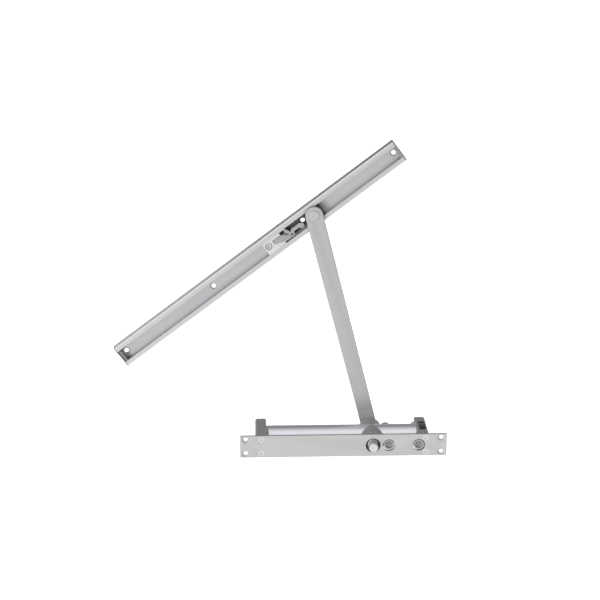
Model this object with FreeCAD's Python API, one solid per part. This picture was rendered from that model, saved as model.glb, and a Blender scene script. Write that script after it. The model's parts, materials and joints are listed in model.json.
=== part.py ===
import FreeCAD, Part
import math
import os

# Concealed door closer: a cylinder body hung behind a narrow faceplate, a cranked arm on the rear
# end of its pinion, and a slide channel with a sprung hold-open catch.
# Millimetres. X runs along the faceplate and +Z is the pinion axis pointing out of the door edge.
# Depths are drawn from the faceplate's front face, and the finished pieces are then raised by the
# plate's thickness, so that the origin is the middle of its back face, which seats on the door.

V = FreeCAD.Vector
OUT = V(0, 0, 1)

# Faceplate
plate_len = 260.0
plate_wid = 29.0
plate_thk = 3.0
plate_corner_r = 0.8
wood_screw_dx = 246.0
wood_screw_dy = 18.8
wood_screw_hole = 5.2
wood_screw_csk = 9.4
face_screw_in_bracket = 8.8
face_screw_in_block = 8.9
face_screw_head = 7.6
face_screw_dia = 4.0
face_screw_len = 14.0
face_screw_socket = 2.5
spindle_window = 18.6
valve_window = 15.2

# Closer body: one casting with a cylinder along X and cross bosses along Z
axis_depth = 32.5
cyl_dia = 29.0
bore_dia = 23.0
body_left = -94.5
body_right = 94.4
bore_end = 81.0
boss_dia = 29.4
boss_front = 8.5
valve_boss_dia = 14.0
valve_boss_front = 3.6
valve_boss_rear = 2 * axis_depth - 4.4
end_block_len = 13.8
end_block_wid = 26.0
end_block_depth = 2 * axis_depth - 3.0
end_block_r = 2.5
pocket_wall = 2.2
pocket_web = 3.8
pocket_front = 20.0
pocket_rear = end_block_depth - 14.0
pocket_deep = 9.0
pocket_rib = 1.4
cross_bore_dia = 18.4

# Pinion and its bearings
spindle_x = 37.2
gear_module = 1.25
gear_teeth = 12
gear_half_width = 9.3
gear_addendum = 1.1
rack_addendum = 0.8
tooth_tip_gap = 0.35
tooth_backlash = 0.2
pressure_angle = 20.0
journal_dia = 12.6
bearing_end_gap = 0.3
bearing_cap_gap = 0.4
spindle_tip_dia = 11.6
spindle_root_dia = 10.2
spindle_points = 8
spindle_proud = 9.2
spindle_shoulder = 4.0
spindle_centre_dia = 2.2
cap_dia = 21.6
cap_collar_dia = 15.2
cap_collar_rise = 2.0
cap_flange_rise = 1.0
cap_thread_len = 4.0
cap_pin_hole = 2.2
seal_dia = 16.4
seal_len = 2.6

# Valves at the front and blind plugs at the rear
valve_a_x = 57.3
valve_b_x = 94.8
plug_flange_dia = 13.8
plug_thread_dia = 10.4
plug_recess = 0.5
plug_depth = 16.0
plug_mouth_dia = 9.2
plug_mouth_depth = 3.6
needle_dia = 5.0
needle_head_depth = 2.0
needle_tip_dia = 1.6
needle_socket = 2.5
oil_way_dia = 2.4
rear_plug_len = 9.0
rear_plug_socket = 5.0
rear_plug_socket_deep = 4.0
needle_socket_deep = 2.0
needle_cone_len = 1.7
needle_tip_len = 5.3
plug_edge = 0.4

# Left bracket, spring and its adjuster
bracket_len = 13.8
collar_len = 1.7
collar_dia = 28.2
spigot_len = 9.0
adjuster_dia = 8.0
adjuster_head_dia = 12.0
adjuster_head_len = 5.0
adjuster_pitch = 1.25
adjuster_turns = 8
adjuster_socket = 5.0
adjuster_spare = 11.8
clip_dia = 13.0
clip_thk = 1.2
seat_thk = 6.0
seat_hub_dia = 12.6
seat_hub_len = 3.0
seat_gap = 2.0
o_ring_wire = 1.8
spring_wire = 3.6
spring_dia = 21.0
spring_turns = 7

# Piston
piston_dia = 22.6
piston_head = 12.5
piston_free_side = 9.4
piston_end_gap = 0.8
piston_seal_len = 2.4
piston_seal_deep = 1.6
piston_pocket_dia = 13.0
piston_pocket_deep = 3.0
check_seat_dia = 7.0
check_ball_dia = 3.6
check_lift = 0.8

# Arm
arm_len = 289.0
arm_rest_deg = 104.5
arm_open_deg = 55.0
arm_close_deg = 75.5
arm_thk = 5.5
arm_wid_hub = 19.5
arm_wid_end = 21.5
arm_eye_dia = 23.2
arm_hub_dia = 21.0
hub_clear = 4.5
hub_thk = 9.0
crank_drop = 9.0
crank_start = 9.5
crank_end = 21.0
crank_bend_r = 3.0
arm_screw_dia = 6.0
arm_screw_head = 10.0
arm_screw_head_len = 4.4
arm_screw_len = 18.0
arm_screw_socket = 5.0
arm_washer_dia = 16.0
arm_washer_thk = 1.2
rivet_dia = 8.0
rivet_head_dia = 14.0
rivet_head_rise = 1.5
rivet_foot_dia = 12.0
rivet_foot_thk = 1.8
rivet_dot_dia = 1.2
spacer_dia = 14.0
spacer_thk = 1.0

# Slide channel
rail_len = 441.0
rail_wid = 29.6
rail_deep = 14.5
arm_rail_gap = 0.75
rail_deg = 37.3
rail_wall = 2.0
rail_lip_thk = 2.0
rail_floor_thk = 2.4
rail_slot = 16.9
rail_corner_r = 1.8
rail_hole_pitch = 141.4
rail_hole_count = 4
rail_hole_dia = 5.5
rail_csk_dia = 9.2
cap_plate_thk = 1.2
cap_peg_len = 6.0

# Slide block
block_standoff = 1.05
block_len = 23.0
block_gap = 0.25
block_foot_r = 2.0
block_neck_r = 4.0
block_top_gap = 0.65
bush_dia = 12.0
run_fit = 0.1

# Hold-open unit in the channel, places along the channel from its middle
hold_left = 12.2
hold_block_len = 35.0
hold_base_tail = 8.2
hold_base_thk = 1.4
hold_base_half = 7.9
hold_notch = 2.4
hold_flush = 0.2
hold_screw_in = 5.9
hold_screw_v = 1.2
hold_screw_dia = 6.2
hold_screw_mouth = 8.6
hold_screw_mouth_deep = 2.2
hold_screw_sunk = 0.6
hold_screw_socket = 3.0
hold_recess_deep = 0.8
hold_recess_at = 13.6
hold_recess_v = 4.5
hold_recess_edge = ((0.0, -0.9), (5.1, -2.9), (12.4, -5.4), (22.4, -5.6))
hold_groove_wid = 1.1
hold_groove_deep = 3.6
hold_cavity_deep = 6.2
hold_cavity_len = 9.0
hold_cavity_wall = 7.7
hold_cavity_step = 2.8
hold_lug_at = 6.4
hold_lug_v = -1.5
hold_under_v = -6.0
catch_pin_ahead = 3.5
catch_pin_v = -4.0
catch_pin_dia = 3.0
catch_eye_dia = 7.0
catch_reach = 16.3
catch_nose_v = -1.8
catch_nose_dia = 6.8
catch_neck_wid = 4.4
catch_knee_ahead = 3.8
catch_knee_rise = 4.1
catch_nose_step = 1.2
catch_tail_back = 4.4
catch_tail_v = 5.7
catch_tail_wid = 3.4
catch_thk = 4.6
catch_sunk = 0.9
catch_lift_deg = 7.0
catch_spring_dia = 3.8
catch_spring_wire = 0.8
catch_spring_turns = 4
catch_spring_v = 5.5

# Places worked out from the sizes above
axis_z = -axis_depth
gear_r = gear_module * gear_teeth / 2
pitch = math.pi * gear_module
cap_front_z = -boss_front
spindle_front_z = spindle_proud
bearing_in = gear_half_width + bearing_end_gap
bearing_len = axis_depth - boss_front - cap_thread_len - bearing_cap_gap - bearing_in
block_left_x = body_right
block_right_x = body_right + end_block_len
bracket_right_x = body_left - collar_len
bracket_left_x = bracket_right_x - bracket_len
boss_rear_z = -2 * axis_depth + boss_front
hub_top_z = boss_rear_z - hub_clear
hub_bottom_z = hub_top_z - hub_thk
arm_top_z = hub_top_z - crank_drop
arm_bottom_z = arm_top_z - arm_thk
lip_z = arm_bottom_z - arm_rail_gap
cavity_top_z = lip_z - rail_lip_thk
floor_z = lip_z - rail_deep + rail_floor_thk
rail_back_z = lip_z - rail_deep
cavity_half = rail_wid / 2 - rail_wall
slot_half = rail_slot / 2
block_channel_z = floor_z + hold_base_thk + block_gap
rivet_foot_top = block_channel_z + block_gap + rivet_foot_thk
arm_rad = math.radians(arm_rest_deg)
rail_rad = math.radians(rail_deg)
pivot_x = spindle_x + arm_len * math.cos(arm_rad)
pivot_y = arm_len * math.sin(arm_rad)
hold_block_right = hold_left + hold_block_len
hold_screw_at = hold_left + hold_screw_in
catch_pin_u = hold_block_right + catch_pin_ahead
catch_nose_u = catch_pin_u + catch_reach
catch_tail_u = catch_pin_u - catch_tail_back
hold_base_right = catch_nose_u + hold_base_tail
block_ahead = hold_base_right + block_standoff + block_len / 2
rail_x = pivot_x - block_ahead * math.cos(rail_rad)
rail_y = pivot_y - block_ahead * math.sin(rail_rad)
travel_left = gear_r * math.radians(arm_open_deg)
travel_right = gear_r * math.radians(arm_close_deg)
gear_tip_r = gear_r + gear_addendum
slot_left_x = spindle_x - gear_tip_r - piston_end_gap - travel_right
slot_right_x = spindle_x + gear_tip_r + piston_end_gap + travel_left
piston_left_x = slot_left_x - piston_head
piston_right_x = slot_right_x + piston_head
spigot_end_x = body_left + spigot_len
seat_left_x = spigot_end_x + clip_thk + seat_gap
seat_right_x = seat_left_x + seat_thk
adjuster_end_x = seat_right_x + seat_hub_len + adjuster_pitch * adjuster_turns + adjuster_spare


def box(x0, x1, y0, y1, z0, z1):
    return Part.makeBox(x1 - x0, y1 - y0, z1 - z0, V(x0, y0, z0))


def rod_z(x, y, z0, z1, dia):
    return Part.makeCylinder(dia / 2, z1 - z0, V(x, y, z0), OUT)


def rod_x(x0, x1, dia):
    return Part.makeCylinder(dia / 2, x1 - x0, V(x0, 0, axis_z), V(1, 0, 0))


def prism(points, z0, z1):
    corners = [V(x, y, z0) for x, y in points]
    return Part.Face(Part.makePolygon(corners + corners[:1])).extrude(V(0, 0, z1 - z0))


def turned_z(profile, x, y):
    # A profile of (radius, z) points turned about the line through (x, y) along Z
    corners = [V(r, 0, z) for r, z in profile]
    solid = Part.Face(Part.makePolygon(corners + corners[:1])).revolve(V(0, 0, 0), OUT, 360)
    solid.translate(V(x, y, 0))
    return solid


def turned_x(profile):
    # A profile of (radius, x) points turned about the cylinder's axis
    corners = [V(x, r, axis_z) for r, x in profile]
    return Part.Face(Part.makePolygon(corners + corners[:1])).revolve(V(0, 0, axis_z), V(1, 0, 0), 360)


def ring_z(x, y, z0, z1, outer, inner):
    return turned_z([(inner / 2, z0), (outer / 2, z0), (outer / 2, z1), (inner / 2, z1)], x, y)


def ring_x(x0, x1, outer, inner):
    return turned_x([(inner / 2, x0), (outer / 2, x0), (outer / 2, x1), (inner / 2, x1)])


def hexagon(x, y, across, z0, z1):
    radius = across / math.sqrt(3)
    corners = [(x + radius * math.cos(math.pi * k / 3), y + radius * math.sin(math.pi * k / 3))
               for k in range(6)]
    return prism(corners, z0, z1)


def hexagon_x(across, x0, x1):
    radius = across / math.sqrt(3)
    corners = [V(x0, radius * math.cos(math.pi * k / 3), axis_z + radius * math.sin(math.pi * k / 3))
               for k in range(6)]
    return Part.Face(Part.makePolygon(corners + corners[:1])).extrude(V(x1 - x0, 0, 0))


def along_z(edge):
    a, b = [v.Point for v in edge.Vertexes] if len(edge.Vertexes) == 2 else (V(), V())
    return abs(a.x - b.x) < 1e-6 and abs(a.y - b.y) < 1e-6 and abs(a.z - b.z) > 1e-6


def corner_edges(shape, keep):
    return [e for e in shape.Edges if along_z(e) and keep(e.CenterOfMass)]


def mirrored_z(shape):
    # The casting is the same seen from the front and from the rear
    return shape.mirror(V(0, 0, axis_z), OUT)


def in_channel(shape):
    shape.rotate(V(0, 0, 0), OUT, rail_deg)
    shape.translate(V(rail_x, rail_y, 0))
    return shape


def on_arm(shape):
    shape.rotate(V(0, 0, 0), OUT, arm_rest_deg)
    shape.translate(V(spindle_x, 0, 0))
    return shape


def csk_cone(x, y, z, hole, mouth):
    # A right-angled countersink whose mouth lies at height z, open towards +Z
    drop = (mouth - hole) / 2
    lift = 0.05
    return turned_z([(0, z - drop - mouth), (hole / 2, z - drop - mouth), (hole / 2, z - drop),
                     (mouth / 2, z), (mouth / 2, z + lift), (0, z + lift)], x, y)


def face_screw_places():
    # Two screws enter the left bracket and two the block at the other end
    rows = (body_left - face_screw_in_bracket, body_right + face_screw_in_block)
    return [(x, side * wood_screw_dy / 2) for x in rows for side in (-1, 1)]


def wood_screw_places():
    return [(sx * wood_screw_dx / 2, sy * wood_screw_dy / 2) for sx in (-1, 1) for sy in (-1, 1)]


def faceplate():
    plate = box(-plate_len / 2, plate_len / 2, -plate_wid / 2, plate_wid / 2, -plate_thk, 0)
    plate = plate.makeFillet(plate_corner_r, corner_edges(plate, lambda c: True))
    cuts = [rod_z(spindle_x, 0, -plate_thk - 1, 1, spindle_window)]
    cuts += [rod_z(x, 0, -plate_thk - 1, 1, valve_window) for x in (valve_a_x, valve_b_x)]
    cuts += [csk_cone(x, y, 0, wood_screw_hole, wood_screw_csk) for x, y in wood_screw_places()]
    cuts += [csk_cone(x, y, 0, face_screw_dia, face_screw_head) for x, y in face_screw_places()]
    return plate.cut(cuts)


def faceplate_screws():
    drop = (face_screw_head - face_screw_dia) / 2
    screws = []
    for x, y in face_screw_places():
        body = turned_z([(0, -face_screw_len), (face_screw_dia / 2, -face_screw_len),
                         (face_screw_dia / 2, -drop), (face_screw_head / 2, 0), (0, 0)], x, y)
        screws.append(body.cut(hexagon(x, y, face_screw_socket, -drop, 1)))
    return Part.makeCompound(screws)


def screw_holes():
    return [rod_z(x, y, -face_screw_len, 0, face_screw_dia) for x, y in face_screw_places()]


def end_block():
    # The pocketed block at the pinion end, cast in one with the cylinder
    half = end_block_wid / 2
    block = box(block_left_x, block_right_x, -half, half, -end_block_depth, -plate_thk)
    outer = corner_edges(block, lambda c: c.x > block_left_x + 1)
    block = block.makeFillet(end_block_r, outer)
    for side in (1, -1):
        y_in = side * (half - pocket_deep)
        y_out = side * (half + 1)
        pocket = box(block_left_x + pocket_web, block_right_x - pocket_wall, min(y_in, y_out),
                     max(y_in, y_out), -pocket_rear, -pocket_front)
        rib_mid = -(pocket_front + 2 * pocket_rear) / 3
        rib = box(block_left_x + pocket_web, block_right_x - pocket_wall, min(y_in, y_out),
                  max(y_in, y_out), rib_mid - pocket_rib / 2, rib_mid + pocket_rib / 2)
        block = block.cut(pocket.cut(rib))
    return block


def closer_housing():
    cylinder = rod_x(body_left, body_right + 0.5, cyl_dia)
    parts = [end_block(), rod_z(spindle_x, 0, boss_rear_z, cap_front_z, boss_dia)]
    parts += [rod_z(x, 0, -valve_boss_rear, -valve_boss_front, valve_boss_dia)
              for x in (valve_a_x, valve_b_x)]
    body = cylinder.fuse(parts).removeSplitter()
    cuts = [rod_x(body_left - 1, bore_end, bore_dia),
            rod_z(spindle_x, 0, boss_rear_z - 1, cap_front_z + 1, cross_bore_dia)]
    cap_bore = rod_z(spindle_x, 0, cap_front_z - cap_thread_len, cap_front_z + 1, cap_dia)
    cuts += [cap_bore, mirrored_z(cap_bore)]
    for x in (valve_a_x, valve_b_x):
        cuts.append(rod_z(x, 0, -valve_boss_front, 0, valve_boss_dia))
        cuts.append(rod_z(x, 0, -plug_depth, -valve_boss_front + 1, plug_thread_dia))
        cuts.append(rod_z(x, 0, axis_z, -plug_depth, oil_way_dia))
        cuts.append(rod_z(x, 0, -valve_boss_rear - 1, -valve_boss_rear + rear_plug_len, plug_thread_dia))
    # One long oil way joins the bore's blind end to the latching valve
    cuts.append(rod_x(bore_end - 1, valve_b_x, oil_way_dia))
    return body.cut(cuts + screw_holes())


def left_bracket():
    half = end_block_wid / 2
    block = box(bracket_left_x, bracket_right_x, -half, half, -end_block_depth, -plate_thk)
    outer = corner_edges(block, lambda c: c.x < bracket_right_x - 1)
    block = block.makeFillet(end_block_r, outer)
    collar = rod_x(bracket_right_x - 1, body_left, collar_dia)
    spigot = rod_x(body_left - 1, spigot_end_x, bore_dia)
    groove_x = (body_left + spigot_end_x) / 2
    cuts = [rod_x(bracket_left_x - 1, spigot_end_x + 1, adjuster_dia + 2 * run_fit),
            rod_x(bracket_left_x - 1, bracket_left_x + adjuster_head_len, adjuster_head_dia + 2 * run_fit),
            ring_x(groove_x - o_ring_wire / 2, groove_x + o_ring_wire / 2, bore_dia + 1,
                   bore_dia - 2 * o_ring_wire),
            ring_x(bracket_right_x - o_ring_wire, bracket_right_x, adjuster_dia + 2 * o_ring_wire,
                   adjuster_dia)]
    return block.fuse([collar, spigot]).removeSplitter().cut(cuts + screw_holes())


def left_bracket_seal():
    groove_x = (body_left + spigot_end_x) / 2
    return ring_x(groove_x - o_ring_wire / 2, groove_x + o_ring_wire / 2, bore_dia,
                  bore_dia - 2 * o_ring_wire)


def adjuster_seal():
    return ring_x(bracket_right_x - o_ring_wire, bracket_right_x, adjuster_dia + 2 * o_ring_wire,
                  adjuster_dia + 2 * run_fit)


def spring_adjuster():
    head = rod_x(bracket_left_x + 0.3, bracket_left_x + adjuster_head_len - run_fit, adjuster_head_dia)
    stem = rod_x(bracket_left_x + 1, adjuster_end_x, adjuster_dia)
    socket = hexagon_x(adjuster_socket, bracket_left_x, bracket_left_x + adjuster_head_len - 0.8)
    clip_x = spigot_end_x + run_fit
    groove = ring_x(clip_x, clip_x + clip_thk, adjuster_dia + 1, adjuster_dia - 1)
    return head.fuse(stem).removeSplitter().cut([socket, groove])


def adjuster_clip():
    clip_x = spigot_end_x + run_fit
    clip = ring_x(clip_x, clip_x + clip_thk, clip_dia, adjuster_dia - 1)
    return clip.cut(box(clip_x - 1, clip_x + clip_thk + 1, 0, clip_dia, axis_z - 1.2, axis_z + 1.2))


def spring_seat():
    hub_x = seat_right_x + seat_hub_len
    return turned_x([(adjuster_dia / 2 + run_fit, seat_left_x), (bore_dia / 2 - 0.3, seat_left_x),
                     (bore_dia / 2 - 0.3, seat_right_x), (seat_hub_dia / 2, seat_right_x),
                     (seat_hub_dia / 2 - 0.6, hub_x), (adjuster_dia / 2 + run_fit, hub_x)])


def coil(start, length, outer, wire, turns):
    # Square wire, wound on a helix and laid along X from the start point
    mean = (outer - wire) / 2
    rise = length - wire
    path = Part.makeHelix(rise / turns, rise, mean)
    half = wire / 2
    corners = [V(mean + u, 0, z) for u, z in ((-half, -half), (half, -half), (half, half), (-half, half))]
    section = Part.makePolygon(corners + corners[:1])
    solid = Part.Wire(path.Edges).makePipeShell([section], True, True)
    solid.translate(V(0, 0, wire / 2))
    solid.rotate(V(0, 0, 0), V(0, 1, 0), 90)
    solid.translate(start)
    return solid


def main_spring():
    length = piston_left_x + piston_pocket_deep - seat_right_x
    return coil(V(seat_right_x, 0, axis_z), length, spring_dia, spring_wire, spring_turns)


def piston():
    body = rod_x(piston_left_x, piston_right_x, piston_dia)
    rack_tip_y = -gear_r + rack_addendum
    body = body.cut(box(slot_left_x, slot_right_x, rack_tip_y, piston_free_side, -2 * axis_depth, 0))
    rack_root_y = -gear_r - gear_addendum - tooth_tip_gap
    slope = math.tan(math.radians(pressure_angle))
    half_gap = (pitch + tooth_backlash / 2) / 4
    first = math.ceil((slot_left_x - spindle_x + pitch / 2) / pitch)
    last = math.floor((slot_right_x - spindle_x - pitch / 2) / pitch)
    spaces = []
    for k in range(first, last + 1):
        x = spindle_x + k * pitch
        at_root = half_gap - slope * (gear_addendum + tooth_tip_gap)
        at_tip = half_gap + slope * (rack_addendum + 0.1)
        spaces.append(prism([(x - at_root, rack_root_y), (x + at_root, rack_root_y),
                             (x + at_tip, rack_tip_y + 0.1), (x - at_tip, rack_tip_y + 0.1)],
                            -2 * axis_depth, 0))
    seal_x = piston_right_x - piston_head / 2
    groove = ring_x(seal_x - piston_seal_len / 2, seal_x + piston_seal_len / 2, piston_dia + 1,
                    piston_dia - 2 * piston_seal_deep)
    pocket = ring_x(piston_left_x - 1, piston_left_x + piston_pocket_deep, piston_dia + 1,
                    piston_pocket_dia)
    # The seat of the check valve and the oil way behind it
    seat = rod_x(piston_right_x - piston_head / 2, piston_right_x + 1, check_seat_dia)
    way = rod_x(slot_right_x - 1, piston_right_x, oil_way_dia)
    return body.cut(spaces + [groove, pocket, seat, way])


def piston_seal():
    seal_x = piston_right_x - piston_head / 2
    return ring_x(seal_x - piston_seal_len / 2, seal_x + piston_seal_len / 2,
                  bore_dia - 2 * run_fit, piston_dia - 2 * piston_seal_deep)


def check_valve_seat():
    left = piston_right_x - piston_head / 2
    room = left + check_ball_dia + check_lift + 2 * run_fit
    hollow = check_ball_dia / 2 + run_fit
    return turned_x([(hollow, left), (check_seat_dia / 2, left), (check_seat_dia / 2, piston_right_x),
                     (oil_way_dia / 2, piston_right_x), (oil_way_dia / 2, room), (hollow, room)])


def check_ball():
    left = piston_right_x - piston_head / 2
    return Part.makeSphere(check_ball_dia / 2, V(left + check_ball_dia / 2 + run_fit, 0, axis_z))


def involute(angle):
    return math.tan(angle) - angle


def gear_outline():
    # Involute flanks down to the base circle, radial below it; one tooth points straight down
    base_r = gear_r * math.cos(math.radians(pressure_angle))
    root_r = gear_r - rack_addendum - tooth_tip_gap
    half_pitch = (pitch - tooth_backlash / 2) / 4 / gear_r
    flank = [base_r, (base_r + gear_r) / 2, gear_r, gear_tip_r]

    def half_angle(r):
        turn = involute(math.radians(pressure_angle)) - involute(math.acos(min(1.0, base_r / r)))
        return half_pitch + turn

    points = []
    for k in range(gear_teeth):
        middle = -math.pi / 2 + 2 * math.pi * k / gear_teeth
        rise = [(root_r, -half_angle(base_r))] + [(r, -half_angle(r)) for r in flank]
        fall = [(r, -a) for r, a in reversed(rise)]
        points += [(r * math.cos(middle + a), r * math.sin(middle + a)) for r, a in rise + fall]
    return points


def star(outer, inner, count, turn_deg):
    points = []
    for k in range(2 * count):
        r = (outer if k % 2 == 0 else inner) / 2
        a = math.radians(turn_deg) + math.pi * k / count
        points.append((r * math.cos(a), r * math.sin(a)))
    return points


def spindle_star(z0, z1):
    shape = prism(star(spindle_tip_dia, spindle_root_dia, spindle_points, arm_rest_deg), z0, z1)
    shape.translate(V(spindle_x, 0, 0))
    return shape


def pinion():
    teeth = prism(gear_outline(), axis_z - gear_half_width, axis_z + gear_half_width)
    teeth.translate(V(spindle_x, 0, 0))
    shoulder_rear_z = -2 * axis_depth + spindle_shoulder
    shaft = rod_z(spindle_x, 0, shoulder_rear_z, -spindle_shoulder, journal_dia)
    front = spindle_star(-spindle_shoulder - 0.5, spindle_front_z)
    rear = spindle_star(hub_bottom_z + 0.4, shoulder_rear_z + 0.5)
    dome = turned_z([(0, -spindle_shoulder - 1), (spindle_tip_dia / 2 + 1, -spindle_shoulder - 1),
                     (spindle_tip_dia / 2 + 1, spindle_front_z - 1.5),
                     (spindle_root_dia / 2 - 0.2, spindle_front_z), (0, spindle_front_z)], spindle_x, 0)
    body = teeth.fuse([shaft, front.common(dome), rear])
    centre = csk_cone(spindle_x, 0, spindle_front_z, 0.6, spindle_centre_dia)
    tapped = rod_z(spindle_x, 0, hub_bottom_z, hub_bottom_z + arm_screw_len, arm_screw_dia)
    return body.cut([centre, tapped])


def bearing_front():
    top = axis_z + bearing_in + bearing_len
    return ring_z(spindle_x, 0, axis_z + bearing_in, top, cross_bore_dia, journal_dia + 2 * run_fit)


def bearing_cap_front():
    bottom = cap_front_z - cap_thread_len
    flange = cap_front_z + cap_flange_rise
    top = flange + cap_collar_rise
    bore = journal_dia / 2 + run_fit
    cap = turned_z([(seal_dia / 2, bottom), (cap_dia / 2, bottom), (cap_dia / 2, flange),
                    (cap_collar_dia / 2, flange), (cap_collar_dia / 2 - 0.4, top), (bore, top),
                    (bore, bottom + seal_len), (seal_dia / 2, bottom + seal_len)], spindle_x, 0)
    reach = (cap_dia + cap_collar_dia) / 4
    holes = [rod_z(spindle_x + s * reach, 0, flange - 2, flange + 1, cap_pin_hole) for s in (-1, 1)]
    return cap.cut(holes)


def shaft_seal_front():
    bottom = cap_front_z - cap_thread_len
    return ring_z(spindle_x, 0, bottom, bottom + seal_len, seal_dia, journal_dia + 2 * run_fit)


def valve_plug(x):
    seat_z = -valve_boss_front
    mouth_z = -plug_recess - plug_mouth_depth
    bore = needle_dia / 2 + run_fit
    return turned_z([(bore, -plug_depth), (plug_thread_dia / 2, -plug_depth),
                     (plug_thread_dia / 2, seat_z), (plug_flange_dia / 2, seat_z),
                     (plug_flange_dia / 2, -plug_recess - plug_edge),
                     (plug_flange_dia / 2 - plug_edge, -plug_recess),
                     (plug_mouth_dia / 2, -plug_recess), (plug_mouth_dia / 2, mouth_z),
                     (bore, mouth_z)], x, 0)


def needle(x):
    top = -needle_head_depth
    neck = needle_cone_len - plug_depth + run_fit
    body = turned_z([(0, neck - needle_cone_len - needle_tip_len),
                     (needle_tip_dia / 2, neck - needle_cone_len), (needle_dia / 2, neck),
                     (needle_dia / 2, top), (0, top)], x, 0)
    return body.cut(hexagon(x, 0, needle_socket, top - needle_socket_deep, top + 1))


def rear_valve_plugs():
    rear_z = -valve_boss_rear
    plugs = []
    for x in (valve_a_x, valve_b_x):
        plug = rod_z(x, 0, rear_z, rear_z + rear_plug_len, plug_thread_dia)
        plugs.append(plug.cut(hexagon(x, 0, rear_plug_socket, rear_z - 1, rear_z + rear_plug_socket_deep)))
    return Part.makeCompound(plugs)


def arm_outline(bottom, top):
    # Plan of the arm with the hub at the origin and the slide pivot along +X
    half_hub = arm_wid_hub / 2
    half_end = arm_wid_end / 2
    strip = prism([(0, -half_hub), (arm_len, -half_end), (arm_len, half_end), (0, half_hub)], bottom, top)
    eye = rod_z(arm_len, 0, bottom, top, arm_eye_dia)
    hub = rod_z(0, 0, bottom, top, arm_hub_dia)
    return strip.fuse([eye, hub]).removeSplitter()


def arm():
    far = arm_len + arm_eye_dia
    near = -arm_hub_dia
    wide = arm_eye_dia
    side = [(near, hub_top_z), (crank_start, hub_top_z), (crank_end, arm_top_z), (far, arm_top_z),
            (far, arm_bottom_z), (crank_end, arm_bottom_z), (crank_start, hub_bottom_z),
            (near, hub_bottom_z)]
    corners = [V(x, -wide, z) for x, z in side]
    slab = Part.Face(Part.makePolygon(corners + corners[:1])).extrude(V(0, 2 * wide, 0))
    bends = [e for e in slab.Edges
             if abs(e.CenterOfMass.x - crank_start) < 1e-6 or abs(e.CenterOfMass.x - crank_end) < 1e-6]
    bends = [e for e in bends if abs(e.CenterOfMass.y) < 1e-6]
    slab = slab.makeFillet(crank_bend_r, bends)
    body = arm_outline(arm_bottom_z - 1, hub_top_z + 1).common(slab)
    bore = prism(star(spindle_tip_dia, spindle_root_dia, spindle_points, 0), hub_bottom_z - 1,
                 hub_top_z + 1)
    eye = rod_z(arm_len, 0, arm_bottom_z - 1, hub_top_z, rivet_dia)
    return on_arm(body.cut([bore, eye]))


def arm_washer():
    return ring_z(spindle_x, 0, hub_bottom_z - arm_washer_thk, hub_bottom_z, arm_washer_dia, arm_screw_dia)


def arm_screw():
    head_top = hub_bottom_z - arm_washer_thk
    head_bottom = head_top - arm_screw_head_len
    body = turned_z([(0, head_bottom), (arm_screw_head / 2 - 0.5, head_bottom),
                     (arm_screw_head / 2, head_bottom + 0.5), (arm_screw_head / 2, head_top),
                     (arm_screw_dia / 2, head_top),
                     (arm_screw_dia / 2, hub_bottom_z + arm_screw_len),
                     (0, hub_bottom_z + arm_screw_len)], spindle_x, 0)
    return body.cut(hexagon(spindle_x, 0, arm_screw_socket, head_bottom - 1, head_bottom + 2.6))


def slide_rivet():
    head_top = arm_top_z + rivet_head_rise
    foot_bottom = rivet_foot_top - rivet_foot_thk
    r = rivet_head_dia / 2
    return turned_z([(0, foot_bottom), (rivet_foot_dia / 2, foot_bottom),
                     (rivet_foot_dia / 2, rivet_foot_top), (rivet_dia / 2, rivet_foot_top),
                     (rivet_dia / 2, arm_top_z), (r, arm_top_z),
                     (r, head_top - 0.7), (r - 0.7, head_top), (rivet_dot_dia / 2, head_top),
                     (0, head_top - 0.5)], pivot_x, pivot_y)


def pivot_spacer():
    return ring_z(pivot_x, pivot_y, arm_bottom_z - spacer_thk, arm_bottom_z, spacer_dia, rivet_dia)


def slide_block():
    # A T-shaped shoe: the foot runs under the lips and the neck fills the slot
    half = block_len / 2
    foot_half = cavity_half - block_gap
    neck_half = slot_half - block_gap
    bottom = floor_z + block_gap
    shoulder = cavity_top_z - block_gap
    top = lip_z - block_top_gap
    # Two runners straddle the hold-open base, and the catch's nose drops into the notch
    foot = box(-half, half, -foot_half, foot_half, bottom, shoulder)
    foot = foot.makeFillet(block_foot_r, corner_edges(foot, lambda c: True))
    neck = box(-half, half, -neck_half, neck_half, shoulder - 1, top)
    neck = neck.makeFillet(block_neck_r, corner_edges(neck, lambda c: True))
    body = foot.fuse(neck).removeSplitter()
    channel = hold_base_half + block_gap
    cuts = [rod_z(0, 0, bottom - 1, top + 1, bush_dia),
            rod_z(0, 0, bottom - 1, rivet_foot_top + run_fit, rivet_foot_dia + 0.8),
            box(-half - 1, half + 1, -channel, channel, bottom - 1, block_channel_z)]
    return at_pivot(body.cut(cuts + catch_notch(half, top)))


def catch_notch(half, top):
    # Room for the catch's round nose, from where it rests to where it is lifted
    reach_u = catch_nose_u - catch_pin_u
    reach_v = catch_nose_v - catch_pin_v
    lift = math.radians(catch_lift_deg)
    shift_u = reach_u * math.cos(lift) - reach_v * math.sin(lift) - reach_u
    shift_v = reach_u * math.sin(lift) + reach_v * math.cos(lift) - reach_v
    notch_u = -half + hold_notch - catch_nose_dia / 2 - block_gap
    wide = catch_nose_dia + 2 * block_gap
    low = lip_z - catch_sunk - catch_thk - block_gap
    ends = [(notch_u, catch_nose_v), (notch_u + shift_u, catch_nose_v + shift_v)]
    rods = [rod_z(u, v, low, top + 1, wide) for u, v in ends]
    return rods + [bar(*ends[0], *ends[1], wide, low, top + 1)]


def at_pivot(shape):
    shape.translate(V(block_ahead, 0, 0))
    return in_channel(shape)


def block_bush():
    bottom = rivet_foot_top + run_fit
    return at_pivot(ring_z(0, 0, bottom, lip_z - block_top_gap, bush_dia, rivet_dia + 2 * run_fit))


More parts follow.
